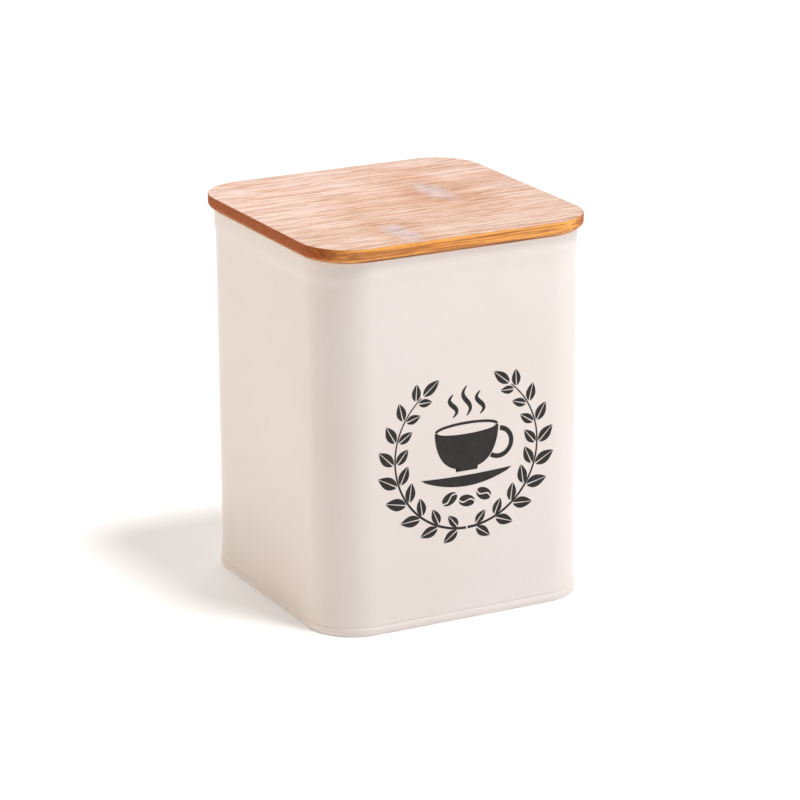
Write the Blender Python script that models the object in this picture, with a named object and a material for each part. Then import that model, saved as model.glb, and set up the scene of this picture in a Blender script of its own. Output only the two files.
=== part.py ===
"""A square kitchen storage tin with a lift-off bamboo lid.

Five pieces, as they come apart on a bench: a tinplate body wall with a hemmed rim, a tinplate
base that is double-seamed to it, and a lid made of a bamboo board, a bamboo plug glued under
the board, and a silicone seal that sits in a groove round the plug. The lid lifts straight up.

Frame: metres, +Z up, the origin on the floor under the middle of the tin, the front wall
facing -Y. The bamboo's grain runs along X.

Every piece is a cross-section swept round a rounded square. A cross-section is a list of
points (u, z): u is the distance outwards from the square's edge, z is the height.
"""

import math

import bmesh
import bpy
from mathutils import Vector

MM = 0.001

# Body wall
BODY_SIDE = 105.8 * MM  # outside, from flat wall to flat wall
BODY_CORNER = 18.0 * MM  # outside corner radius
BODY_HEIGHT = 137.3 * MM  # floor to the top of the hemmed rim
TIN = 0.25 * MM  # tinplate thickness, wall and base
HEM_DEPTH = 4.5 * MM  # the rim's edge, folded flat to the inside
HEM_GAP = 0.25 * MM  # between the hem's two layers
TOP_FLARE_HEIGHT = 5.5 * MM  # the wall widens under the hem by the hem's own thickness
FLARE = 0.45 * MM  # how far the wall widens just above the base seam
FLARE_HEIGHT = 6.0 * MM

# Side seam: the lock seam that closes the strip, down the middle of the back wall
SIDE_SEAM_WIDTH = 4.0 * MM
SIDE_SEAM_LAYERS = 2  # folded layers behind the wall's own
SIDE_SEAM_END_GAP = 4.0 * MM  # the seam is a single layer near the rim and the base
GROOVE_WIDTH = 0.5 * MM  # the fold's line on the outside
GROOVE_DEPTH = 0.15 * MM

# Base: a pressed panel, double-seamed round the foot of the wall
SEAM_HEIGHT = 3.0 * MM
FOLD_GAP = 0.25 * MM  # between the folded layers
NECK_IN = 0.8 * MM  # how far the wall steps in, to go into the seam
WALL_FOLD_RADIUS = 0.2 * MM  # middle of the sheet, at the foot of the wall
COVER_HOOK_LIFT = 0.25 * MM  # tip of the base's hook above the wall's fold
PANEL_HEIGHT = 3.0 * MM  # floor to the underside of the recessed panel
PANEL_CORNER_RADIUS = 0.6 * MM
PANEL_STEP_INSET = 8.0 * MM  # from the wall to the pressed step in the panel
PANEL_STEP_RUN = 2.0 * MM
PANEL_STEP_RISE = 0.8 * MM

# Lid
LID_OVERHANG = 2.1 * MM  # how far the board stands out past the flat wall, all round
LID_CORNER_EXTRA = 0.5 * MM  # the board's corner radius, over the body's
LID_THICKNESS = 5.0 * MM
LID_TOP_ROUND = 0.5 * MM
LID_BOTTOM_ROUND = 2.0 * MM
REST_GAP = 0.3 * MM  # between pieces that rest on, or are glued to, each other
PLUG_CLEARANCE = 1.6 * MM  # between the plug and the mouth, all round
PLUG_DEPTH = 9.0 * MM
PLUG_CHAMFER = 1.0 * MM
GROOVE_DROP = 1.5 * MM  # top of the plug to the top of the seal's groove
SEAL_GROOVE_HEIGHT = 5.0 * MM
SEAL_GROOVE_CUT = 2.2 * MM
SEAL_GAP = 0.3 * MM  # round the seal in its groove, and from its fins to the mouth
SEAL_FIN_COUNT = 2
SEAL_FIN_THICKNESS = 0.6 * MM
SEAL_FIN_SLOPE = 0.6 * MM  # a fin's tip stands this much above its root

# Fineness of the curves
CORNER_STEPS = 8  # flats in each 90 degree corner
FOLD_STEPS = 3  # flats in each 90 degrees of a fold
TOP_ROUND_STEPS = 2
BOTTOM_ROUND_STEPS = 4
SWEEP_STEPS = 4  # flats in a flare and in the panel's step

# Places that follow from the sizes above, u being 0 on the outside of the flat wall
LAYER = TIN + FOLD_GAP
WALL_U = -TIN / 2  # middle of the wall's sheet
SEAM_WALL_U = WALL_U - NECK_IN  # middles of the sheet's layers in the base seam
COVER_HOOK_U = SEAM_WALL_U + LAYER
BODY_HOOK_U = COVER_HOOK_U + LAYER
OUTER_U = BODY_HOOK_U + LAYER
CHUCK_U = SEAM_WALL_U - LAYER
TOP_FOLD_Z = SEAM_HEIGHT - LAYER - TIN / 2
WALL_FOOT_Z = TIN / 2 + LAYER
NECK_RADIUS = 2 * LAYER
NECK_TURN = math.degrees(math.acos(1 - (NECK_IN + FLARE) / (2 * NECK_RADIUS)))
NECK_TOP_Z = TOP_FOLD_Z + 2 * NECK_RADIUS * math.sin(math.radians(NECK_TURN))
HEM_RADIUS = (TIN + HEM_GAP) / 2
HEM_TOP_Z = BODY_HEIGHT - TIN / 2 - HEM_RADIUS
HEM_FOOT_Z = HEM_TOP_Z - HEM_DEPTH
MOUTH_U = -TIN  # inside of the wall and of the hem
LID_SIDE = BODY_SIDE + 2 * LID_OVERHANG
LID_CORNER = BODY_CORNER + LID_CORNER_EXTRA
LID_UNDERSIDE = BODY_HEIGHT + REST_GAP
PLUG_TOP = LID_UNDERSIDE - REST_GAP
PLUG_U = MOUTH_U - PLUG_CLEARANCE


def arc(centre, radius, start, end, steps):
    """Points of an arc in a cross-section, with its angles in degrees from +u towards +z."""
    points = []
    for i in range(steps + 1):
        angle = math.radians(start + (end - start) * i / steps)
        points.append((centre[0] + radius * math.cos(angle), centre[1] + radius * math.sin(angle)))
    return points


def ease(start, end, steps):
    """An S-shaped stretch from start to end, upright at both where z is the longer way."""
    points = []
    rises = abs(end[1] - start[1]) > abs(end[0] - start[0])
    for i in range(steps + 1):
        share = i / steps
        eased = (1 - math.cos(math.pi * share)) / 2
        across, up = (eased, share) if rises else (share, eased)
        points.append((start[0] + (end[0] - start[0]) * across, start[1] + (end[1] - start[1]) * up))
    return points


def sheet(path, thickness):
    """The outline of a sheet of that thickness whose middle follows path, as a closed list."""
    middle = [Vector(point) for point in path]
    normals = []
    for a, b in zip(middle, middle[1:]):
        along = (b - a).normalized()
        normals.append(Vector((-along.y, along.x)))
    offsets = []
    for before, after in zip(normals[:1] + normals, normals + normals[-1:]):
        mitre = (before + after) / (1 + before.dot(after))
        offsets.append(mitre * thickness / 2)
    one_side = [point + offset for point, offset in zip(middle, offsets)]
    other_side = [point - offset for point, offset in zip(middle, offsets)]
    return one_side + other_side[::-1]


def stations(side, corner):
    """Points and outward directions round a rounded square, anticlockwise from above."""
    straight = side / 2 - corner
    found = []
    for quarter, (sx, sy) in enumerate(((1, 1), (-1, 1), (-1, -1), (1, -1))):
        for i in range(CORNER_STEPS + 1):
            angle = math.radians(90 * quarter + 90 * i / CORNER_STEPS)
            outward = Vector((math.cos(angle), math.sin(angle)))
            found.append((Vector((sx * straight, sy * straight)) + outward * corner, outward))
    return found


def sweep(name, side, corner, section, is_ring):
    """Sweeps a cross-section round a rounded square.

    A ring's section is a closed outline. A plate's section is an open line, and the faces
    inside its first and last points are filled in.
    """
    mesh_data = bmesh.new()
    loops = []
    for place, outward in stations(side, corner):
        loops.append(
            [mesh_data.verts.new((*(place + outward * u), z)) for u, z in section]
        )
    last = len(section) if is_ring else len(section) - 1
    for here, there in zip(loops, loops[1:] + loops[:1]):
        for i in range(last):
            j = (i + 1) % len(section)
            mesh_data.faces.new((here[i], there[i], there[j], here[j]))
    if not is_ring:
        mesh_data.faces.new([loop[0] for loop in loops])
        mesh_data.faces.new([loop[-1] for loop in loops])
    bmesh.ops.recalc_face_normals(mesh_data, faces=mesh_data.faces)
    return finish_object(name, mesh_data)


def finish_object(name, mesh_data):
    mesh = bpy.data.meshes.new(name)
    mesh_data.to_mesh(mesh)
    mesh_data.free()
    mesh.shade_smooth()
    mesh.set_sharp_from_angle(angle=math.radians(35))
    made = bpy.data.objects.new(name, mesh)
    bpy.context.scene.collection.objects.link(made)
    return made


def block(name, low, high):
    """A hidden helper box between two corners."""
    mesh_data = bmesh.new()
    bmesh.ops.create_cube(mesh_data, size=1)
    for vertex in mesh_data.verts:
        vertex.co = [a + (b - a) * (c + 0.5) for a, b, c in zip(low, high, vertex.co)]
    made = finish_object(name, mesh_data)
    made.hide_render = True
    made.display_type = "WIRE"
    return made


def combine(target, operation, helper):
    modifier = target.modifiers.new(helper.name, "BOOLEAN")
    modifier.operation = operation
    modifier.solver = "EXACT"
    modifier.object = helper


def material(name, colour, roughness, metallic=0.0):
    made = bpy.data.materials.new(name)
    made.use_nodes = True
    shader = made.node_tree.nodes["Principled BSDF"]
    shader.inputs["Base Color"].default_value = (*colour, 1.0)
    shader.inputs["Roughness"].default_value = roughness
    shader.inputs["Metallic"].default_value = metallic
    return made


def body_wall():
    """The wall's sheet, from the tip of its hook in the base seam up to the hemmed rim."""
    fold_z = WALL_FOOT_Z + WALL_FOLD_RADIUS
    flared_u = WALL_U + FLARE
    rim_u = WALL_U + 2 * HEM_RADIUS
    path = [(BODY_HOOK_U, TOP_FOLD_Z - FOLD_GAP)]
    path += arc((BODY_HOOK_U - WALL_FOLD_RADIUS, fold_z), WALL_FOLD_RADIUS, 0, -90, FOLD_STEPS)
    path += arc((SEAM_WALL_U + WALL_FOLD_RADIUS, fold_z), WALL_FOLD_RADIUS, -90, -180, FOLD_STEPS)
    path += arc(
        (SEAM_WALL_U + NECK_RADIUS, TOP_FOLD_Z), NECK_RADIUS, 180, 180 - NECK_TURN, SWEEP_STEPS
    )
    path += arc((flared_u - NECK_RADIUS, NECK_TOP_Z), NECK_RADIUS, -NECK_TURN, 0, SWEEP_STEPS)[1:]
    path += ease((flared_u, NECK_TOP_Z), (WALL_U, NECK_TOP_Z + FLARE_HEIGHT), SWEEP_STEPS)[1:]
    path += ease((WALL_U, HEM_FOOT_Z - TOP_FLARE_HEIGHT), (rim_u, HEM_FOOT_Z), SWEEP_STEPS)
    path += arc((rim_u - HEM_RADIUS, HEM_TOP_Z), HEM_RADIUS, 0, 180, 2 * FOLD_STEPS)
    path += [(WALL_U, HEM_FOOT_Z)]
    wall = sweep("body_wall", BODY_SIDE, BODY_CORNER, sheet(path, TIN), is_ring=True)

    seam_low = NECK_TOP_Z + FLARE_HEIGHT + SIDE_SEAM_END_GAP
    seam_high = HEM_FOOT_Z - TOP_FLARE_HEIGHT - SIDE_SEAM_END_GAP
    half_width = SIDE_SEAM_WIDTH / 2
    outside = BODY_SIDE / 2
    inside = outside - TIN * (1 + SIDE_SEAM_LAYERS)
    combine(
        wall,
        "UNION",
        block(
            "side_seam_layers",
            (-half_width, inside, seam_low),
            (half_width, outside - TIN / 2, seam_high),
        ),
    )
    combine(
        wall,
        "DIFFERENCE",
        block(
            "side_seam_groove",
            (half_width - GROOVE_WIDTH, outside - GROOVE_DEPTH, seam_low + half_width),
            (half_width, outside + TIN, seam_high - half_width),
        ),
    )
    return wall


def base_panel():
    """The base's sheet, from its stepped panel out to the tip of its hook in the seam."""
    panel_z = PANEL_HEIGHT + TIN / 2
    outer_radius = WALL_FOLD_RADIUS + LAYER
    step_end = CHUCK_U - PANEL_STEP_INSET
    foot_z = TIN / 2 + outer_radius
    path = ease(
        (step_end - PANEL_STEP_RUN, panel_z + PANEL_STEP_RISE), (step_end, panel_z), SWEEP_STEPS
    )
    path += arc(
        (CHUCK_U - PANEL_CORNER_RADIUS, panel_z - PANEL_CORNER_RADIUS),
        PANEL_CORNER_RADIUS,
        90,
        0,
        FOLD_STEPS,
    )
    path += arc((CHUCK_U + outer_radius, foot_z), outer_radius, 180, 270, FOLD_STEPS)
    path += arc((OUTER_U - outer_radius, foot_z), outer_radius, 270, 360, FOLD_STEPS)
    path += arc((BODY_HOOK_U, TOP_FOLD_Z), LAYER, 0, 180, 2 * FOLD_STEPS)
    path += [(COVER_HOOK_U, WALL_FOOT_Z + TIN / 2 + COVER_HOOK_LIFT)]
    return sweep("base_panel", BODY_SIDE, BODY_CORNER, sheet(path, TIN), is_ring=False)


def lid_board():
    """The bamboo board, more rounded below than above."""
    low_round = (-LID_BOTTOM_ROUND, LID_UNDERSIDE + LID_BOTTOM_ROUND)
    high_round = (-LID_TOP_ROUND, LID_UNDERSIDE + LID_THICKNESS - LID_TOP_ROUND)
    section = arc(low_round, LID_BOTTOM_ROUND, -90, 0, BOTTOM_ROUND_STEPS)
    section += arc(high_round, LID_TOP_ROUND, 0, 90, TOP_ROUND_STEPS)
    return sweep("lid_board", LID_SIDE, LID_CORNER, section, is_ring=False)


def lid_plug():
    """The bamboo plug, with the seal's groove round it and a chamfer at its foot."""
    plug_foot = PLUG_TOP - PLUG_DEPTH
    groove_top = PLUG_TOP - GROOVE_DROP
    groove_foot = groove_top - SEAL_GROOVE_HEIGHT
    groove_u = PLUG_U - SEAL_GROOVE_CUT
    section = [
        (PLUG_U - PLUG_CHAMFER, plug_foot),
        (PLUG_U, plug_foot + PLUG_CHAMFER),
        (PLUG_U, groove_foot),
        (groove_u, groove_foot),
        (groove_u, groove_top),
        (PLUG_U, groove_top),
        (PLUG_U, PLUG_TOP),
    ]
    return sweep("lid_plug", BODY_SIDE, BODY_CORNER, section, is_ring=False)


def lid_seal():
    """The silicone ring: a band in the groove, with fins that reach out to the mouth."""
    band_top = PLUG_TOP - GROOVE_DROP - SEAL_GAP
    band_foot = PLUG_TOP - GROOVE_DROP - SEAL_GROOVE_HEIGHT + SEAL_GAP
    band_back = PLUG_U - SEAL_GROOVE_CUT + SEAL_GAP
    band_front = PLUG_U
    fin_tip = MOUTH_U - SEAL_GAP
    fin_pitch = (band_top - band_foot - SEAL_FIN_THICKNESS) / SEAL_FIN_COUNT
    section = [(band_back, band_foot), (band_front, band_foot)]
    for i in range(SEAL_FIN_COUNT):
        root = band_foot + fin_pitch * (i + 0.5)
        section += [
            (band_front, root),
            (fin_tip, root + SEAL_FIN_SLOPE),
            (fin_tip, root + SEAL_FIN_SLOPE + SEAL_FIN_THICKNESS / 2),
            (band_front, root + SEAL_FIN_THICKNESS),
        ]
    section += [(band_front, band_top), (band_back, band_top)]
    return sweep("lid_seal", BODY_SIDE, BODY_CORNER, section, is_ring=True)


def main():
    for old in list(bpy.data.objects):
        bpy.data.objects.remove(old)
    enamel = material("cream_enamel", (0.84, 0.79, 0.72), 0.4)
    bamboo = material("bamboo", (0.72, 0.47, 0.27), 0.55)
    silicone = material("silicone", (0.85, 0.85, 0.82), 0.45)
    for make in (body_wall, base_panel):
        make().data.materials.append(enamel)
    lid_axis = bpy.data.objects.new("lid_axis", None)
    bpy.context.scene.collection.objects.link(lid_axis)
    for make, finish in ((lid_board, bamboo), (lid_plug, bamboo), (lid_seal, silicone)):
        piece = make()
        piece.data.materials.append(finish)
        piece.parent = lid_axis


main()
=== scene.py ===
"""The looks of a square coffee tin with a bamboo lid: fine surfaces, materials, light, camera.

Frame: metres, +Z up, the origin on the floor under the middle of the tin, the printed front
wall facing -Y. Most pieces are a cross-section swept round a rounded square; a cross-section
is a list of points (u, z), u being the distance outwards from the square's edge.
"""

import math

import bmesh
import bpy
from mathutils import Matrix, Vector

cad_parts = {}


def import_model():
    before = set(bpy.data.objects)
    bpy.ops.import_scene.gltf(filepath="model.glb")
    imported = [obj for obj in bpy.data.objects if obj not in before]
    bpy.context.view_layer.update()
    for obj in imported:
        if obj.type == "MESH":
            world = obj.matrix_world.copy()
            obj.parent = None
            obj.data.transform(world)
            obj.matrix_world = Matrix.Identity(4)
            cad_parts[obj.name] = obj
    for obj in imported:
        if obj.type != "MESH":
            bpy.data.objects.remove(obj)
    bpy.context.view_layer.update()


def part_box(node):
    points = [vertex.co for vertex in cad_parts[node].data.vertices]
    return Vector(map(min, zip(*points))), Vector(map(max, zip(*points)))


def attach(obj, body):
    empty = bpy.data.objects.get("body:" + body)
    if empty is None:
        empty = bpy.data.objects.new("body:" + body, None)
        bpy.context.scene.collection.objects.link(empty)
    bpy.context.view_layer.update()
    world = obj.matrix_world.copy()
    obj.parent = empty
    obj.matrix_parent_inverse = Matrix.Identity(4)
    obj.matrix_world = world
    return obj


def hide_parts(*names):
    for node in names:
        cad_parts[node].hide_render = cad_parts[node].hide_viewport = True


MM = 0.001

# Tinplate wall, as the frame has it
TIN = 0.25 * MM  # thickness, wall and base
BODY_CORNER = 18.0 * MM  # outside corner radius
HEM_DEPTH = 4.5 * MM  # the rim's edge, folded flat to the inside
HEM_RADIUS = 0.25 * MM  # middle of the sheet, where it folds over at the rim
RIM_FLARE = 2 * HEM_RADIUS  # the wall widens under the hem by this much
RIM_FLARE_HEIGHT = 5.5 * MM
BASE_FLARE = 0.45 * MM  # how far the wall widens just above the base seam
BASE_FLARE_HEIGHT = 6.0 * MM

# Side seam, down the middle of the back wall
SIDE_SEAM_WIDTH = 4.0 * MM
SIDE_SEAM_RISE = 0.5 * MM  # how far its folded layers stand into the tin
SIDE_SEAM_END_GAP = 4.0 * MM  # the seam is a single layer near the rim and the base
SIDE_SEAM_EDGE = (-0.1 * MM, 0.35 * MM)  # its edge slopes from here to here, past its width
SIDE_SEAM_REACH = 1.5 * MM  # past this far out from its width the wall is plain
SIDE_SEAM_END_STEPS = 4
FOLD_LINE_WIDTH = 0.5 * MM  # the fold's line on the outside, at one edge of the seam
FOLD_LINE_DEPTH = 0.13 * MM
FOLD_LINE_FLAT = 0.05 * MM  # half the width of the line's flat bottom

# Base and its seam. The seam is rolled tight, inside the frame's looser seam.
SEAM_HEIGHT = 3.0 * MM
FOLD_GAP = 0.015 * MM  # between the folded layers
LAYER = TIN + FOLD_GAP
NECK_IN = 0.2 * MM  # how far the wall steps in, to go into the seam
NECK_RADIUS = 0.55 * MM
WALL_FOLD_RADIUS = 0.2 * MM  # middle of the sheet, at the foot of the wall
SEAM_CROWN = 0.28 * MM  # how far the seam's outer face bulges
PANEL_HEIGHT = 3.0 * MM  # floor to the underside of the recessed panel
PANEL_CORNER_RADIUS = 0.6 * MM
PANEL_STEP_INSET = 8.0 * MM  # from the wall to the pressed step in the panel
PANEL_STEP_RUN = 2.0 * MM
PANEL_STEP_RISE = 0.8 * MM
# Outline of the enamel in the groove over the seam: (u, height over the seam), in mm
POOLED_ENAMEL = (
    (0.20, -0.07),
    (0.42, -0.07),
    (0.35, 0.02),
    (0.33, 0.12),
    (0.345, 0.22),
    (0.385, 0.33),
    (0.20, 0.30),
)

# Lid, as the frame has it
LID_CORNER = 18.5 * MM
LID_TOP_ROUND = 0.5 * MM
LID_BOTTOM_ROUND = 2.0 * MM
PLUG_CLEARANCE = 1.6 * MM  # between the plug and the mouth, all round
PLUG_CHAMFER = 1.0 * MM
PLUG_EDGE_ROUND = 0.2 * MM
GROOVE_DROP = 1.5 * MM  # top of the plug to the top of the seal's groove
SEAL_GROOVE_HEIGHT = 5.0 * MM
SEAL_GROOVE_CUT = 2.2 * MM
SEAL_GAP = 0.3 * MM  # behind the seal in its groove, and from its fins to the mouth
SEAL_EDGE_ROUND = 0.25 * MM
SEAL_FIN_COUNT = 2
SEAL_FIN_THICKNESS = 0.6 * MM
SEAL_FIN_SLOPE = 0.6 * MM  # a fin's tip stands this much above its root

# Bamboo: pale node patches on a piece, each (x, y, length along x, width along y), in mm
BOARD_PATCHES = ((20.0, 7.0, 7.5, 21.0), (-18.0, -41.0, 6.5, 18.0))
PLUG_PATCHES = ((-20.0, 12.0, 3.4, 9.0),)
PLUG_DEEPER = 0.12  # the plug's bamboo is this share darker and redder than the board's

# Print on the front wall
PRINT_CENTRE = (1.1 * MM, 63.0 * MM)
INK = 0.03 * MM  # how far the ink stands out from the wall
WREATH_RADIUS = 28.6 * MM
WREATH_START = -89.4  # degrees: each twig starts just beside the bottom of the wreath
WREATH_TURN = 140.4
LEAF_START = -84.0  # degrees: the lowest pair of leaves on a twig
LEAF_TURN = 129.0
LEAF_PAIRS = 9
LEAF_OFFSET = 1.1  # mm between a twig and the foot of a leaf
CUP_SIZE = 1.18
CUP_RISE = 2.2 * MM

# Camera: where it stands, as seen from AIM, and how far its own aim is off that
AIM = (0.0, 0.0, 66.0 * MM)
AZIMUTH = -27.355
ELEVATION = 17.466
ROLL = 0.378
DISTANCE = 1.2907
LENS = 158.45
AIM_RIGHT = 1.86 * MM
AIM_UP = 1.49 * MM

FLOOR_REACH = 40.0  # from its middle to each side, so that it fills low views as well

# Fineness of the curves
CORNER_STEPS = 20  # flats in each 90 degree corner
FOLD_STEPS = 5
FLARE_STEPS = 8

# Places that follow from the sizes above, u being 0 on the outside of the flat wall
WALL_U = -TIN / 2  # middle of the wall's sheet
SEAM_WALL_U = WALL_U - NECK_IN  # middles of the sheet's layers in the base seam
COVER_HOOK_U = SEAM_WALL_U + LAYER
BODY_HOOK_U = COVER_HOOK_U + LAYER
OUTER_U = BODY_HOOK_U + LAYER
CHUCK_U = SEAM_WALL_U - LAYER
TOP_FOLD_Z = SEAM_HEIGHT - LAYER - TIN / 2
WALL_FOOT_Z = TIN / 2 + LAYER


# ---------------------------------------------------------------- shapes


def ellipse(centre, wide, high, start, end, steps):
    """Points of a stretch of an ellipse, its angles in degrees from the first axis."""
    points = []
    for i in range(steps + 1):
        angle = math.radians(start + (end - start) * i / steps)
        points.append((centre[0] + wide * math.cos(angle), centre[1] + high * math.sin(angle)))
    return points


def arc(centre, radius, start, end, steps):
    """Points of an arc in a cross-section, with its angles in degrees from +u towards +z."""
    return ellipse(centre, radius, radius, start, end, steps)


def ease(start, end, steps):
    """An S-shaped stretch from start to end, upright at both where z is the longer way."""
    points = []
    rises = abs(end[1] - start[1]) > abs(end[0] - start[0])
    for i in range(steps + 1):
        share = i / steps
        eased = (1 - math.cos(math.pi * share)) / 2
        across, up = (eased, share) if rises else (share, eased)
        u = start[0] + (end[0] - start[0]) * across
        z = start[1] + (end[1] - start[1]) * up
        points.append((u, z))
    return points


def sheet(path, thickness):
    """The two sides of a sheet whose middle follows path."""
    middle = [Vector(point) for point in path]
    normals = []
    for a, b in zip(middle, middle[1:]):
        along = (b - a).normalized()
        normals.append(Vector((-along.y, along.x)))
    offsets = []
    for before, after in zip(normals[:1] + normals, normals + normals[-1:]):
        mitre = (before + after) / (1 + before.dot(after))
        offsets.append(mitre * thickness / 2)
    left = [point + offset for point, offset in zip(middle, offsets)]
    right = [point - offset for point, offset in zip(middle, offsets)]
    return left, right


def stations(side, corner, back_stops=()):
    """Points and outward directions round a rounded square, anticlockwise from above."""
    straight = side / 2 - corner
    found = []
    for quarter, (sx, sy) in enumerate(((1, 1), (-1, 1), (-1, -1), (1, -1))):
        for i in range(CORNER_STEPS + 1):
            angle = math.radians(90 * quarter + 90 * i / CORNER_STEPS)
            outward = Vector((math.cos(angle), math.sin(angle)))
            found.append((Vector((sx * straight, sy * straight)) + outward * corner, outward))
        if quarter == 0:
            for x in sorted(back_stops, reverse=True):
                found.append((Vector((x, side / 2)), Vector((0, 1))))
    return found


def sweep(name, side, corner, section, is_ring, slots=None, bend=None, back_stops=()):
    """Sweeps a cross-section round a rounded square.

    A ring's section is a closed outline. A plate's section is an open line, and the faces
    inside its first and last points are filled in. slots gives each stretch's material, bend
    gives how far a point moves outwards, and back_stops are extra places along the back wall.
    """
    mesh_data = bmesh.new()
    loops = []
    for place, outward in stations(side, corner, back_stops):
        loop = []
        for i, (u, z) in enumerate(section):
            if bend:
                u += bend(place, outward, i, z)
            loop.append(mesh_data.verts.new((*(place + outward * u), z)))
        loops.append(loop)
    last = len(section) if is_ring else len(section) - 1
    for here, there in zip(loops, loops[1:] + loops[:1]):
        for i in range(last):
            j = (i + 1) % len(section)
            face = mesh_data.faces.new((here[i], there[i], there[j], here[j]))
            face.material_index = slots[i] if slots else 0
    if not is_ring:
        first = mesh_data.faces.new([loop[0] for loop in loops])
        second = mesh_data.faces.new([loop[-1] for loop in loops])
        first.material_index = slots[0] if slots else 0
        second.material_index = slots[-1] if slots else 0
    bmesh.ops.recalc_face_normals(mesh_data, faces=mesh_data.faces)
    return finish_mesh(name, mesh_data, 40)


def finish_mesh(name, mesh_data, sharp_angle):
    """Makes a smooth-shaded object, with edges over sharp_angle degrees left sharp."""
    mesh = bpy.data.meshes.new(name)
    mesh_data.to_mesh(mesh)
    mesh_data.free()
    mesh.shade_smooth()
    mesh.set_sharp_from_angle(angle=math.radians(sharp_angle))
    made = bpy.data.objects.new(name, mesh)
    bpy.context.scene.collection.objects.link(made)
    return made


def dress(piece, body, node, slot, *materials):
    """Gives a piece its materials, and ties it to the frame."""
    for material in materials:
        piece.data.materials.append(material)
    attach(piece, body)
    if node:
        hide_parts(node)


def smooth(value, low, high):
    """0 below low, 1 above high, and an S-shaped rise between them."""
    share = min(max((value - low) / (high - low), 0), 1)
    return share * share * (3 - 2 * share)


# ---------------------------------------------------------------- materials


class Shader:
    """A material whose nodes are added by short calls. A value is a number or a socket.

    place is the point on the piece in mm, and normal the way its surface faces.
    """

    def __init__(self, name):
        self.material = bpy.data.materials.new(name)
        self.material.use_nodes = True
        self.tree = self.material.node_tree
        self.surface = self.tree.nodes["Principled BSDF"]
        coordinates = self.tree.nodes.new("ShaderNodeTexCoord")
        self.place = self.stretch(coordinates.outputs["Object"], (1000, 1000, 1000))
        self.normal = coordinates.outputs["Normal"]

    def add(self, kind, inputs, **settings):
        made = self.tree.nodes.new("ShaderNode" + kind)
        for key, value in settings.items():
            setattr(made, key, value)
        for key, value in inputs.items():
            self.put(made.inputs[key], value)
        return made

    def put(self, socket, value):
        if isinstance(value, bpy.types.NodeSocket):
            self.tree.links.new(value, socket)
        elif isinstance(value, tuple) and len(value) == 3 and socket.type == "RGBA":
            socket.default_value = (*value, 1)
        else:
            socket.default_value = value

    def math(self, operation, a, b):
        return self.add("Math", {0: a, 1: b}, operation=operation).outputs[0]

    def stretch(self, vector, scale):
        return self.add("VectorMath", {0: vector, 1: scale}, operation="MULTIPLY").outputs[0]

    def shift(self, vector, offset):
        return self.add("VectorMath", {0: vector, 1: offset}, operation="ADD").outputs[0]

    def length(self, vector):
        return self.add("VectorMath", {0: vector}, operation="LENGTH").outputs["Value"]

    def split(self, vector):
        return self.add("SeparateXYZ", {0: vector}).outputs

    def noise(self, vector, scale, detail=2.0, roughness=0.5):
        inputs = {"Vector": vector, "Scale": scale, "Detail": detail, "Roughness": roughness}
        return self.add("TexNoise", inputs).outputs["Fac"]

    def cells(self, vector, scale):
        return self.add("TexVoronoi", {"Vector": vector, "Scale": scale}).outputs

    def between(self, value, low, high, to_low=0.0, to_high=1.0):
        """Goes smoothly from to_low to to_high as value goes from low to high."""
        inputs = {
            "Value": value,
            "From Min": low,
            "From Max": high,
            "To Min": to_low,
            "To Max": to_high,
        }
        return self.add("MapRange", inputs, interpolation_type="SMOOTHSTEP").outputs[0]

    def mix(self, factor, a, b, blend="MIX"):
        made = self.add("Mix", {"Factor": factor}, data_type="RGBA", blend_type=blend)
        self.put(made.inputs[6], a)
        self.put(made.inputs[7], b)
        return made.outputs[2]

    def bump(self, height, strength, distance, normal=None):
        inputs = {"Height": height, "Strength": strength, "Distance": distance}
        if normal:
            inputs["Normal"] = normal
        return self.add("Bump", inputs).outputs[0]

    def finish(self, **inputs):
        """Sets the surface's inputs; an underscore stands for a space in an input's name."""
        for key, value in inputs.items():
            self.put(self.surface.inputs[key.replace("_", " ")], value)
        return self.material


def enamel_material():
    """Cream stoved enamel on tinplate: satin, a faint orange peel, a few specks and rubs."""
    s = Shader("cream_enamel")
    height = s.split(s.place)[2]
    drift = s.noise(s.place, 0.018, 2)
    mottle = s.noise(s.place, 0.6, 3)
    colour = s.mix(s.between(drift, 0.35, 0.65), (0.775, 0.70, 0.665), (0.79, 0.72, 0.69))
    colour = s.mix(s.between(mottle, 0.4, 0.7, 0, 0.25), colour, (0.76, 0.685, 0.645))
    speck_cells = s.cells(s.place, 0.09)
    chosen = s.math("LESS_THAN", s.split(speck_cells["Color"])[0], 0.16)
    speck = s.math("MULTIPLY", s.between(speck_cells["Distance"], 0.022, 0.012), chosen)
    colour = s.mix(speck, colour, (0.42, 0.33, 0.26))
    rub_noise = s.noise(s.stretch(s.place, (0.35, 0.35, 1.6)), 1.0, 4, 0.65)
    on_foot = s.between(height, 1.2, 0.2)
    on_ridge = s.math("MULTIPLY", s.between(height, 2.3, 2.75), s.between(height, 3.2, 2.9))
    rubbed = s.math("ADD", s.math("MULTIPLY", on_foot, 0.9), s.math("MULTIPLY", on_ridge, 0.55))
    rub = s.between(s.math("MULTIPLY", rubbed, rub_noise), 0.44, 0.52, 0, 0.55)
    colour = s.mix(rub, colour, (0.50, 0.44, 0.38))
    peel = s.noise(s.place, 1.1, 2, 0.55)
    waves = s.noise(s.place, 0.035, 1)
    normal = s.bump(waves, 0.35, 0.0006)
    normal = s.bump(peel, 0.12, 0.00005, normal)
    roughness = s.between(s.noise(s.place, 0.25, 3), 0.3, 0.7, 0.36, 0.46)
    return s.finish(
        Base_Color=colour, Roughness=roughness, Normal=normal, Coat_Weight=0.25, Coat_Roughness=0.3
    )


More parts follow.
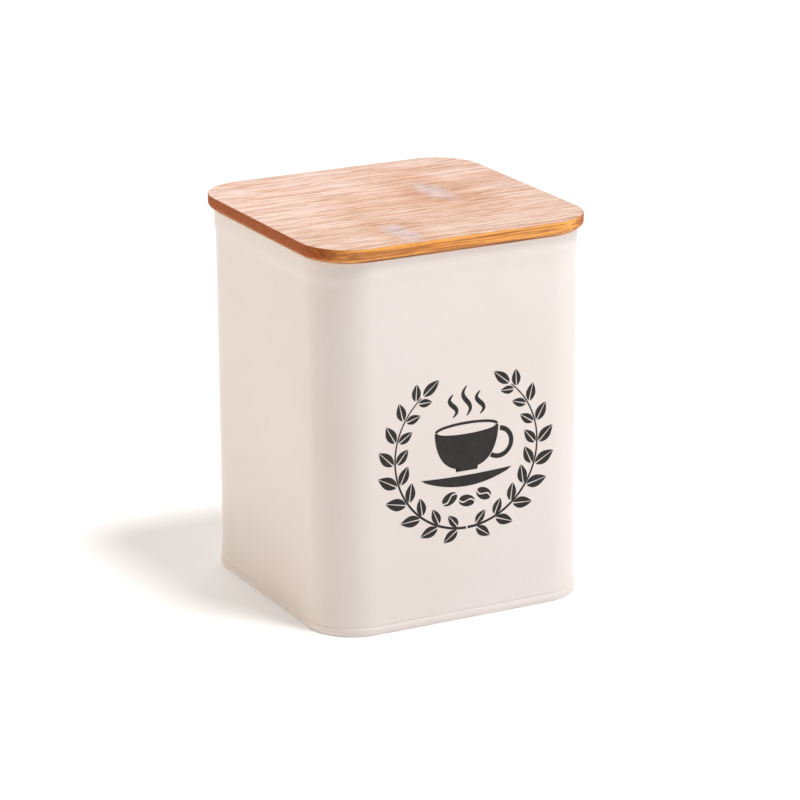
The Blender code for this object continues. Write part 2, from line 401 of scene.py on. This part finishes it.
def tinplate_material():
    """Bare tinplate inside the tin: a fine rolling grain, a faint spangle, dull spots."""
    s = Shader("bare_tinplate")
    grain = s.noise(s.stretch(s.place, (1, 1, 22)), 0.5, 3, 0.6)
    spangle = s.cells(s.place, 0.12)["Color"]
    tone = s.math("MULTIPLY", s.math("ADD", s.split(spangle)[0], grain), 0.5)
    colour = s.mix(tone, (0.60, 0.59, 0.56), (0.76, 0.75, 0.72))
    stain = s.between(s.noise(s.place, 0.05, 4, 0.6), 0.52, 0.7, 0, 0.4)
    colour = s.mix(stain, colour, (0.56, 0.52, 0.44))
    roughness = s.between(tone, 0.1, 0.9, 0.26, 0.42)
    normal = s.bump(grain, 0.15, 0.00003)
    return s.finish(Base_Color=colour, Metallic=1.0, Roughness=roughness, Normal=normal)


def bamboo_material(name, deep, patches):
    """Bamboo, grain along X: fibre bundles and node patches on top, golden sides, dark ends.

    deep is how much darker and redder the piece is. Each patch is (x, y, length, width) in mm.
    """
    s = Shader(name)
    wander = s.noise(s.stretch(s.place, (0.02, 0.05, 0.05)), 1.0, 1)
    bent = s.shift(s.place, s.add("CombineXYZ", {1: s.math("MULTIPLY", wander, 1.5)}).outputs[0])
    bands = s.noise(s.stretch(bent, (0.006, 0.10, 0.16)), 1.0, 3, 0.6)
    grain = s.noise(s.stretch(bent, (0.009, 0.85, 1.0)), 1.0, 3, 0.7)
    streaks = s.noise(s.stretch(bent, (0.05, 1.0, 1.2)), 1.0, 2, 0.7)
    fibres = s.noise(s.stretch(bent, (0.13, 2.2, 2.6)), 1.0, 3, 0.75)
    tone = s.math("MULTIPLY", bands, 0.08)
    for layer, weight in ((grain, 0.34), (streaks, 0.24), (fibres, 0.34)):
        tone = s.math("ADD", tone, s.math("MULTIPLY", layer, weight))
    bundles = s.cells(s.stretch(bent, (0.055, 0.85, 1.3)), 1.0)["Distance"]
    dash = s.between(bundles, 0.42, 0.16, 0, 0.7)
    dash = s.math("MULTIPLY", dash, s.between(streaks, 0.60, 0.40))
    colour = bamboo_face(s, bent, tone, dash)
    colour = bamboo_patches(s, colour, fibres, patches)
    facing = s.split(s.add("VectorMath", {0: s.normal}, operation="ABSOLUTE").outputs[0])
    end = s.between(facing[0], 0.30, 0.85)
    colour = bamboo_edges(s, colour, end)
    colour = s.mix(deep, colour, (0.52, 0.27, 0.12))
    roughness = s.math("ADD", s.between(tone, 0.3, 0.7, 0.46, 0.36), s.math("MULTIPLY", end, 0.3))
    relief = s.math("SUBTRACT", fibres, s.math("MULTIPLY", dash, 0.6))
    normal = s.bump(relief, 0.35, 0.00006)
    normal = s.bump(bands, 0.08, 0.0003, normal)
    return s.finish(
        Base_Color=colour, Roughness=roughness, Normal=normal, Specular_IOR_Level=0.25
    )


def bamboo_face(s, bent, tone, dash):
    """The colour of the board's broad face: pale and tan streaks, with darker fibres in them."""
    pale = (0.81, 0.62, 0.54)
    tan = (0.55, 0.285, 0.15)
    colour = s.mix(s.between(tone, 0.425, 0.55), tan, pale)
    # A warmer blush over the middle.
    blotch = s.noise(s.stretch(s.place, (0.03, 0.06, 0.06)), 1.0, 3, 0.6)
    off_middle = s.length(s.stretch(s.place, (0.019, 0.024, 0)))
    blush = s.math("SUBTRACT", s.math("MULTIPLY", blotch, 2.4), off_middle)
    colour = s.mix(s.between(blush, 0.1, 1.0, 0, 0.9), colour, (0.90, 0.78, 0.66), "MULTIPLY")
    # Painted sheen: the top is paler and cooler towards the back, standing in for the reflection
    # of the light from behind, and a little darker at the front.
    back_sheen_mask = s.between(s.split(s.place)[1], -50, 50)
    drift = s.mix(back_sheen_mask, (0.95, 0.935, 0.91), (1.09, 1.09, 1.15))
    colour = s.mix(1.0, colour, drift, "MULTIPLY")
    colour = s.mix(dash, colour, (0.40, 0.17, 0.075))
    lines = s.noise(s.stretch(bent, (0.032, 1.0, 1.1)), 1.0, 2, 0.6)
    return s.mix(s.between(lines, 0.58, 0.64, 0, 0.7), colour, (0.42, 0.18, 0.08))


def bamboo_patches(s, colour, fibres, patches):
    """Adds the pale lilac patches at the bamboo's nodes, each with a warm halo round it."""
    ragged = s.noise(s.stretch(s.place, (0.16, 1.1, 1.1)), 1.0, 4, 0.75)
    dashes = s.between(fibres, 0.40, 0.60)
    lilac = s.mix(dashes, (0.38, 0.28, 0.295), (0.80, 0.635, 0.605))
    for x, y, length, width in patches:
        spot = s.shift(s.place, (-x, -y, 0))
        far = s.length(s.stretch(spot, (1 / length, 1 / width, 0)))
        reach = s.math("ADD", far, s.math("MULTIPLY", ragged, 2.4))
        halo = s.between(reach, 3.6, 1.8, 0, 0.6)
        colour = s.mix(halo, colour, (0.88, 0.70, 0.52), "MULTIPLY")
        colour = s.mix(s.between(reach, 2.05, 1.65, 0, 0.85), colour, lilac)
    return colour


def bamboo_edges(s, colour, end):
    """Adds the golden, layered long edges, and the dark dotted end grain where end is 1."""
    side = s.between(s.split(s.normal)[2], 0.90, 0.50)
    layers = s.noise(s.stretch(s.place, (0.035, 0.3, 1.5)), 1.0, 3, 0.65)
    golden = s.mix(s.between(layers, 0.38, 0.60), (0.44, 0.13, 0.012), (1.0, 0.44, 0.068))
    colour = s.mix(s.math("MULTIPLY", side, 0.9), colour, golden)
    dots = s.between(s.cells(s.stretch(s.place, (0.5, 1.5, 1.5)), 1.0)["Distance"], 0.2, 0.6)
    grains = s.mix(dots, (0.10, 0.018, 0.003), (0.40, 0.085, 0.014))
    cloud = s.between(s.noise(s.place, 0.12, 2), 0.35, 0.65, 0, 0.6)
    grains = s.mix(cloud, grains, (0.30, 0.065, 0.014))
    return s.mix(s.math("MULTIPLY", end, 0.92), colour, grains)


def silicone_material():
    """Milky silicone: a soft sheen, dust in the moulded skin, some light through it."""
    s = Shader("milky_silicone")
    cloud = s.noise(s.place, 0.2, 3)
    dust = s.between(s.noise(s.place, 5.0, 2, 0.7), 0.60, 0.72, 0, 0.35)
    colour = s.mix(cloud, (0.80, 0.80, 0.77), (0.88, 0.88, 0.86))
    colour = s.mix(dust, colour, (0.66, 0.64, 0.60))
    roughness = s.between(cloud, 0.3, 0.7, 0.36, 0.5)
    normal = s.bump(s.noise(s.place, 3.0, 2), 0.1, 0.00004)
    return s.finish(
        Base_Color=colour,
        Roughness=roughness,
        Normal=normal,
        Subsurface_Weight=0.3,
        Subsurface_Radius=(0.002, 0.002, 0.0018),
    )


def ink_material():
    """Charcoal printing ink: a little uneven, with small worn spots that are greyer."""
    s = Shader("charcoal_ink")
    patchy = s.noise(s.place, 0.35, 4, 0.6)
    colour = s.mix(s.between(patchy, 0.35, 0.7), (0.013, 0.010, 0.009), (0.026, 0.021, 0.019))
    worn = s.between(s.noise(s.place, 3.2, 3, 0.7), 0.63, 0.72, 0, 0.5)
    colour = s.mix(worn, colour, (0.13, 0.11, 0.10))
    roughness = s.between(patchy, 0.3, 0.7, 0.42, 0.6)
    normal = s.bump(s.noise(s.place, 2.0, 2), 0.12, 0.00004)
    return s.finish(
        Base_Color=colour, Roughness=roughness, Normal=normal, Specular_IOR_Level=0.3
    )


def floor_material():
    """A plain, nearly white floor, with a little light of its own."""
    s = Shader("studio_floor")
    tone = s.noise(s.place, 0.004, 2)
    colour = s.mix(tone, (0.81, 0.81, 0.81), (0.83, 0.83, 0.83))
    return s.finish(
        Base_Color=colour,
        Roughness=0.9,
        Specular_IOR_Level=0.1,
        Emission_Color=(1.0, 1.0, 1.0),
        Emission_Strength=0.20,
    )


# ---------------------------------------------------------------- the tin


def tin_wall(side, top, enamel, tinplate):
    """The wall's sheet, from its hook in the base seam to the folded hem at the rim."""
    fold_z = WALL_FOOT_Z + WALL_FOLD_RADIUS
    flared_u = WALL_U + BASE_FLARE
    rim_u = WALL_U + RIM_FLARE
    turn = math.degrees(math.acos(1 - (NECK_IN + BASE_FLARE) / (2 * NECK_RADIUS)))
    neck_top = TOP_FOLD_Z + 2 * NECK_RADIUS * math.sin(math.radians(turn))
    hem_top = top - TIN / 2 - HEM_RADIUS
    hem_foot = hem_top - HEM_DEPTH
    seam_low = neck_top + BASE_FLARE_HEIGHT + SIDE_SEAM_END_GAP
    seam_high = hem_foot - RIM_FLARE_HEIGHT - SIDE_SEAM_END_GAP
    half_width = SIDE_SEAM_WIDTH / 2

    path = [(BODY_HOOK_U, TOP_FOLD_Z - FOLD_GAP)]
    path += arc((BODY_HOOK_U - WALL_FOLD_RADIUS, fold_z), WALL_FOLD_RADIUS, 0, -90, FOLD_STEPS)
    path += arc((SEAM_WALL_U + WALL_FOLD_RADIUS, fold_z), WALL_FOLD_RADIUS, -90, -180, FOLD_STEPS)
    neck = (SEAM_WALL_U + NECK_RADIUS, TOP_FOLD_Z)
    path += arc(neck, NECK_RADIUS, 180, 180 - turn, FLARE_STEPS)
    path += arc((flared_u - NECK_RADIUS, neck_top), NECK_RADIUS, -turn, 0, FLARE_STEPS)[1:]
    path += ease((flared_u, neck_top), (WALL_U, neck_top + BASE_FLARE_HEIGHT), FLARE_STEPS)[1:]
    for start, stop in ((seam_low, seam_low + half_width), (seam_high - half_width, seam_high)):
        for i in range(SIDE_SEAM_END_STEPS + 1):
            path.append((WALL_U, start + (stop - start) * i / SIDE_SEAM_END_STEPS))
    path += ease((WALL_U, hem_foot - RIM_FLARE_HEIGHT), (rim_u, hem_foot), FLARE_STEPS)
    path += arc((rim_u - HEM_RADIUS, hem_top), HEM_RADIUS, 0, 180, 2 * FOLD_STEPS)
    path += [(WALL_U, hem_foot)]
    left, right = sheet(path, TIN)
    section = left + right[::-1]
    # Going up the path, its left side is the inside of the tin until the hem turns over.
    slots = [1] * len(left) + [0] * len(right)
    slots[len(left) - 1] = 0
    slots[len(section) - 1] = 1

    def bend(place, outward, i, z):
        """The side seam: layers that stand into the tin, and a fold's line on the outside."""
        faces_back = outward.y > 0.999
        if not faces_back or abs(place.x) > half_width + SIDE_SEAM_REACH:
            return 0
        ends = smooth(z, seam_low, seam_low + half_width)
        ends *= 1 - smooth(z, seam_high - half_width, seam_high)
        if i < len(left):
            slope = [half_width + edge for edge in SIDE_SEAM_EDGE]
            return -SIDE_SEAM_RISE * (1 - smooth(abs(place.x), *slope)) * ends
        off = abs(place.x - (half_width - FOLD_LINE_WIDTH / 2))
        return -FOLD_LINE_DEPTH * (1 - smooth(off, FOLD_LINE_FLAT, FOLD_LINE_WIDTH / 2)) * ends

    stops = side_seam_stops(half_width)
    piece = sweep("tin_wall", side, BODY_CORNER, section, True, slots, bend, stops)
    dress(piece, "tin", "body_wall", "enamelled_wall", enamel, tinplate)


def side_seam_stops(half_width):
    """Places along x where the back wall's mesh is cut: closest at the seam's edges."""
    steps = [(0.0, half_width * k / 4) for k in range(-3, 4)]
    for edge in (-half_width, half_width):
        steps += [(edge, step * MM) for step in (-0.35, -0.1, 0.0, 0.05, 0.2, 0.35)]
    steps += [(-half_width, -0.2 * MM)]
    fold_line = half_width - FOLD_LINE_WIDTH / 2
    steps += [(fold_line, step * MM) for step in (-0.25, -0.2, 0.0, 0.2, 0.25)]
    return sorted({round(place + step, 7) for place, step in steps})


def tin_base(side, enamel, tinplate):
    """The pressed base: a stepped panel, a deep edge, and the outer half of the base seam."""
    panel_z = PANEL_HEIGHT + TIN / 2
    outer_radius = WALL_FOLD_RADIUS + LAYER
    foot_z = TIN / 2 + outer_radius
    step_foot = (CHUCK_U - PANEL_STEP_INSET, panel_z)
    step_top = (step_foot[0] - PANEL_STEP_RUN, panel_z + PANEL_STEP_RISE)
    corner = (CHUCK_U - PANEL_CORNER_RADIUS, panel_z - PANEL_CORNER_RADIUS)
    path = ease(step_top, step_foot, FLARE_STEPS)
    path += arc(corner, PANEL_CORNER_RADIUS, 90, 0, FOLD_STEPS)
    path += arc((CHUCK_U + outer_radius, foot_z), outer_radius, 180, 270, FOLD_STEPS)
    path += arc((OUTER_U - outer_radius, foot_z), outer_radius, 270, 345, FOLD_STEPS)
    for i in range(1, FLARE_STEPS):
        share = i / FLARE_STEPS
        crowned_u = OUTER_U + SEAM_CROWN * math.sin(math.pi * share)
        path.append((crowned_u, foot_z + (TOP_FOLD_Z - foot_z) * share))
    path += arc((BODY_HOOK_U, TOP_FOLD_Z), LAYER, 15, 180, 2 * FOLD_STEPS)
    path += [(COVER_HOOK_U, WALL_FOOT_Z + TIN)]
    left, right = sheet(path, TIN)
    section = left + right[::-1]
    slots = [1] * len(left) + [0] * len(right)
    piece = sweep("tin_base", side, BODY_CORNER, section, False, slots)
    dress(piece, "tin", "base_panel", "enamelled_base", enamel, tinplate)


def seam_enamel(side, enamel):
    """Enamel that has pooled in the groove between the base seam and the wall's neck."""
    section = [(u * MM, SEAM_HEIGHT + rise * MM) for u, rise in POOLED_ENAMEL]
    piece = sweep("seam_enamel", side, BODY_CORNER, section, True)
    dress(piece, "tin", None, "enamelled_wall", enamel)


# ---------------------------------------------------------------- the lid


def lid_board(bamboo):
    """The board: a small round on its top edge, a larger one on its lower edge."""
    low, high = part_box("lid_board")
    section = arc((-LID_BOTTOM_ROUND, low.z + LID_BOTTOM_ROUND), LID_BOTTOM_ROUND, -90, 0, 8)
    section += arc((-LID_TOP_ROUND, high.z - LID_TOP_ROUND), LID_TOP_ROUND, 0, 90, 5)
    piece = sweep("bamboo_lid_board", high.x - low.x, LID_CORNER, section, False)
    dress(piece, "lid", "lid_board", "bamboo_board", bamboo)


def lid_plug(side, bamboo):
    """The plug under the board, chamfered at its foot, with the seal's groove round it."""
    low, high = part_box("lid_plug")
    foot, top = low.z, high.z
    plug_u = -TIN - PLUG_CLEARANCE
    groove_top = top - GROOVE_DROP
    groove_foot = groove_top - SEAL_GROOVE_HEIGHT
    groove_u = plug_u - SEAL_GROOVE_CUT
    soft = PLUG_EDGE_ROUND
    section = arc((plug_u - PLUG_CHAMFER - soft, foot + soft), soft, -90, -45, 3)
    section += arc((plug_u - soft, foot + PLUG_CHAMFER + soft), soft, -45, 0, 3)
    section += arc((plug_u - soft, groove_foot - soft), soft, 0, 90, 4)
    section += [(groove_u, groove_foot), (groove_u, groove_top)]
    section += arc((plug_u - soft, groove_top + soft), soft, -90, 0, 4)
    section += [(plug_u, top)]
    piece = sweep("bamboo_lid_plug", side, BODY_CORNER, section, False)
    dress(piece, "lid", "lid_plug", "bamboo_plug", bamboo)


def lid_seal(side, silicone):
    """The silicone ring, with thin fins that lean upwards."""
    low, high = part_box("lid_seal")
    plug_u = -TIN - PLUG_CLEARANCE
    back = plug_u - SEAL_GROOVE_CUT + SEAL_GAP
    tip = -TIN - SEAL_GAP
    soft = SEAL_EDGE_ROUND
    thick = SEAL_FIN_THICKNESS
    pitch = (high.z - low.z - thick) / SEAL_FIN_COUNT
    section = arc((back + soft, low.z + soft), soft, 180, 270, 4)
    section += arc((plug_u - soft, low.z + soft), soft, 270, 360, 4)
    for i in range(SEAL_FIN_COUNT):
        root = low.z + pitch * (i + 0.5)
        nose = (tip - thick / 4, root + SEAL_FIN_SLOPE + thick / 4)
        section += [(plug_u, root)]
        section += arc(nose, thick / 4, -70, 75, 6)
        section += [(plug_u, root + thick)]
    section += arc((plug_u - soft, high.z - soft), soft, 0, 90, 4)
    section += arc((back + soft, high.z - soft), soft, 90, 180, 4)
    piece = sweep("silicone_seal_ring", side, BODY_CORNER, section, True)
    dress(piece, "lid", "lid_seal", "silicone_seal", silicone)


# ---------------------------------------------------------------- the print


def stroke(points, width_at):
    """A brush stroke: its two sides, width_at giving its width along the line."""
    line = [Vector(point) for point in points]
    left, right = [], []
    for i, point in enumerate(line):
        along = (line[min(i + 1, len(line) - 1)] - line[max(i - 1, 0)]).normalized()
        across = Vector((-along.y, along.x)) * width_at(i / (len(line) - 1)) / 2
        left.append(point + across)
        right.append(point - across)
    return (left, right)


def in_mm(points):
    return [(x * MM, y * MM) for x, y in points]


def place_shape(shape, origin, angle):
    """The shape, turned by angle degrees and moved to origin."""
    turn = Matrix.Rotation(math.radians(angle), 2)
    return [Vector(origin) + turn @ Vector(point) for point in shape]


def leaf(length, width, vein):
    """A pointed leaf along +x from the origin, as two halves with the vein left bare."""
    halves = []
    steps = 14
    for sign in (1, -1):
        rib = []
        rim = []
        for i in range(steps + 1):
            share = i / steps
            swell = math.sin(math.pi * share ** 0.85) ** 0.9 if 0 < share < 1 else 0
            bare = vein / 2 * (1 - share * 0.6)
            rib.append((length * share, sign * bare))
            rim.append((length * share, sign * (bare + width / 2 * swell)))
        halves.append(rib + rim[-2:0:-1])
    return halves


def bean(length, width, crease):
    """A coffee bean lying along x, as two halves on either side of its wavy crease."""
    halves = []
    steps = 18
    for sign in (1, -1):
        inner, outer = [], []
        for i in range(steps + 1):
            share = -1 + 2 * i / steps
            wave = 0.16 * width * math.sin(math.pi * share)
            inner.append((length / 2 * share * 0.97, wave + sign * crease / 2))
            angle = math.pi * (1 - (share + 1) / 2)
            outer.append((length / 2 * math.cos(angle), sign * width / 2 * math.sin(angle)))
        halves.append(inner + [p for p in outer[-2:0:-1] if abs(p[1]) > crease])
    return halves


def sprig(side_sign):
    """One leafy twig that bends from the bottom of the wreath up one side."""

    def on_ring(degrees):
        angle = math.radians(degrees)
        return (side_sign * WREATH_RADIUS * math.cos(angle), WREATH_RADIUS * math.sin(angle))

    steps = 39
    line = [on_ring(WREATH_START + WREATH_TURN * i / steps) for i in range(steps + 1)]
    shapes = [stroke(line, lambda share: (1.0 - 0.55 * share) * MM)]
    for pair in range(LEAF_PAIRS):
        along = LEAF_START + LEAF_TURN * pair / (LEAF_PAIRS - 1)
        size = 1.0 - 0.30 * abs(pair - 3.5) / 5
        for tilt, reach in ((-42, 1.0), (44, 0.86)):
            angle = along + 90 + tilt
            if side_sign < 0:
                angle = 180 - angle
            turn = Vector((math.cos(math.radians(angle)), math.sin(math.radians(angle))))
            foot = Vector(on_ring(along)) + turn * LEAF_OFFSET * MM
            for half in leaf(8.6 * MM * size * reach, 4.4 * MM * size * reach, 0.45 * MM):
                shapes.append(place_shape(half, foot, angle))
    end_angle = 141 if side_sign > 0 else 39
    for half in leaf(8.0 * MM, 3.6 * MM, 0.4 * MM):
        shapes.append(place_shape(half, on_ring(53), end_angle))
    return shapes


def cup():
    """A cup from the side, on a saucer, with three wisps of steam. Its points are in mm."""

    def wisp_width(share):
        return (0.35 + 1.15 * math.sin(math.pi * share)) * MM

    right_side = []
    for i in range(19):
        angle = math.radians(90 * i / 20)
        right_side.append((10.85 * math.cos(angle) ** 0.72, 5.15 - 12.4 * math.sin(angle)))
    left_side = [(-x, y) for x, y in right_side[::-1]]
    foot = [(3.6, -8.0), (-3.6, -8.0)]
    mouth = ellipse((0, 5.15), 9.95, 1.5, 180, 360, 24)
    bowl = right_side + foot + left_side + mouth
    rim = ellipse((0, 5.3), 10.4, 1.8, 0, 180, 30)
    handle = arc((10.9, -0.6), 4.4, 84, -126, 30)
    saucer = [(15.5 * (i / 10 - 1), -8.9 - 0.5 * (1 - (i / 10 - 1) ** 2)) for i in range(21)]
    saucer += [(15.5 * (1 - i / 10), -9.3 - 3.6 * (1 - (1 - i / 10) ** 2)) for i in range(1, 20)]
    shapes = [
        in_mm(bowl),
        stroke(in_mm(rim), lambda share: 0.85 * MM),
        stroke(in_mm(handle), lambda share: 1.5 * MM),
        in_mm(saucer),
    ]
    for x, rise in ((-4.6, 7.2), (0.0, 9.4), (4.6, 7.2)):
        wisp = []
        for i in range(25):
            share = i / 24
            wisp.append((x + 1.25 * math.sin(share * 2 * math.pi), 9.3 + rise * share))
        shapes.append(stroke(in_mm(wisp), wisp_width))
    return shapes


def beans():
    """Three beans in a row under the saucer."""
    shapes = []
    for x, y, angle in ((-6.9, -16.9, 28), (0.0, -18.5, -12), (6.9, -16.9, 150)):
        for half in bean(6.6 * MM, 4.4 * MM, 0.55 * MM):
            shapes.append(place_shape(half, (x * MM, y * MM), angle))
    return shapes


def grow(shapes, size, rise):
    """The same shapes, larger about the middle of the print, and higher."""
    lift = Vector((0, rise))
    grown = []
    for shape in shapes:
        if isinstance(shape, tuple):
            grown.append(tuple([Vector(point) * size + lift for point in edge] for edge in shape))
        else:
            grown.append([Vector(point) * size + lift for point in shape])
    return grown


def print_piece(name, shapes, front, ink):
    """A flat print on the front wall: every shape is a thin closed body of ink."""
    mesh_data = bmesh.new()
    for shape in shapes:
        is_strip = isinstance(shape, tuple)
        outline = list(shape[0]) + list(shape[1])[::-1] if is_strip else shape
        points = [(PRINT_CENTRE[0] + x, PRINT_CENTRE[1] + y) for x, y in outline]
        outer = [mesh_data.verts.new((x, front - INK, z)) for x, z in points]
        inner = [mesh_data.verts.new((x, front + INK / 2, z)) for x, z in points]
        for ring in (outer, inner):
            if is_strip:
                for i in range(len(shape[0]) - 1):
                    mesh_data.faces.new((ring[i], ring[i + 1], ring[-i - 2], ring[-i - 1]))
            else:
                mesh_data.faces.new(ring)
        for i in range(len(points)):
            j = (i + 1) % len(points)
            mesh_data.faces.new((outer[j], outer[i], inner[i], inner[j]))
    bmesh.ops.triangulate(mesh_data, faces=[f for f in mesh_data.faces if len(f.verts) > 4])
    bmesh.ops.recalc_face_normals(mesh_data, faces=mesh_data.faces)
    piece = finish_mesh(name, mesh_data, 30)
    dress(piece, "tin", None, "enamelled_wall", ink)


# ---------------------------------------------------------------- studio


def studio():
    """A plain floor, a dim warm world, and soft lights."""
    mesh_data = bmesh.new()
    bmesh.ops.create_grid(mesh_data, x_segments=8, y_segments=8, size=FLOOR_REACH)
    floor = finish_mesh("studio_floor", mesh_data, 30)
    floor.data.materials.append(floor_material())
    world = bpy.data.worlds.new("studio")
    world.use_nodes = True
    background = world.node_tree.nodes["Background"]
    background.inputs["Color"].default_value = (1.0, 0.865, 0.74, 1)
    background.inputs["Strength"].default_value = 0.16
    bpy.context.scene.world = world
    lamp("key", (0.22, -0.31, 0.92), 2.05, 14, (0.99, 0.99, 1.0))
    lamp("left", (-0.84, 0.46, 0.28), 1.0, 50, (1.0, 0.85, 0.68))
    lamp("behind", (0.10, 0.72, 0.69), 1.5, 70, (1.0, 0.985, 0.97))
    panel("front_right", (0.50, -0.60, 0.38), 2.15, 0.8, (0.95, 0.98, 1.0))
    bpy.context.scene.view_settings.view_transform = "Standard"


def lamp(name, toward, strength, spread, colour):
    """A large soft light, far away in the direction toward; spread is its width in degrees."""
    data = bpy.data.lights.new(name, "SUN")
    data.energy = strength
    data.angle = math.radians(spread)
    data.color = colour
    made = bpy.data.objects.new(name, data)
    bpy.context.scene.collection.objects.link(made)
    made.rotation_euler = Vector(toward).to_track_quat("Z", "Y").to_euler()
    made.location = Vector(toward) * 2


def panel(name, place, power, size, colour):
    """A round soft box at place, in metres, turned to the tin; power in watts."""
    data = bpy.data.lights.new(name, "AREA")
    data.shape = "DISK"
    data.size = size
    data.energy = power
    data.color = colour
    made = bpy.data.objects.new(name, data)
    bpy.context.scene.collection.objects.link(made)
    made.location = place
    made.rotation_euler = (Vector(place) - Vector(AIM)).to_track_quat("Z", "Y").to_euler()
    made.visible_camera = False


def camera():
    """The camera, turned about its own axis by ROLL degrees."""
    azimuth = math.radians(AZIMUTH)
    elevation = math.radians(ELEVATION)
    roll = math.radians(ROLL)
    back = Vector(
        (
            math.sin(azimuth) * math.cos(elevation),
            -math.cos(azimuth) * math.cos(elevation),
            math.sin(elevation),
        )
    )
    right = Vector((math.cos(azimuth), math.sin(azimuth), 0))
    up = back.cross(right)
    place = Vector(AIM) + back * DISTANCE
    aim = Vector(AIM) + right * AIM_RIGHT + up * AIM_UP
    back = (place - aim).normalized()
    right = Vector((0, 0, 1)).cross(back).normalized()
    up = back.cross(right)
    rolled_right = right * math.cos(roll) - up * math.sin(roll)
    rolled_up = right * math.sin(roll) + up * math.cos(roll)
    lens = bpy.data.cameras.new("camera")
    lens.lens = LENS
    lens.clip_start = 0.01
    lens.clip_end = 50
    made = bpy.data.objects.new("camera", lens)
    bpy.context.scene.collection.objects.link(made)
    made.matrix_world = Matrix.Translation(place) @ Matrix(
        (rolled_right, rolled_up, back)
    ).transposed().to_4x4()
    bpy.context.scene.camera = made


def main():
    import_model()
    camera()
    studio()
    wall_low, wall_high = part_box("body_wall")
    side = wall_high.x - wall_low.x - 2 * RIM_FLARE
    enamel = enamel_material()
    tinplate = tinplate_material()
    silicone = silicone_material()
    ink = ink_material()
    tin_wall(side, wall_high.z, enamel, tinplate)
    tin_base(side, enamel, tinplate)
    seam_enamel(side, enamel)
    lid_board(bamboo_material("bamboo_board", 0.0, BOARD_PATCHES))
    lid_plug(side, bamboo_material("bamboo_plug", PLUG_DEEPER, PLUG_PATCHES))
    lid_seal(side, silicone)
    front = -side / 2
    print_piece("print_wreath", sprig(1) + sprig(-1), front, ink)
    print_piece("print_cup", grow(cup(), CUP_SIZE, CUP_RISE), front, ink)
    print_piece("print_beans", beans(), front, ink)


main()
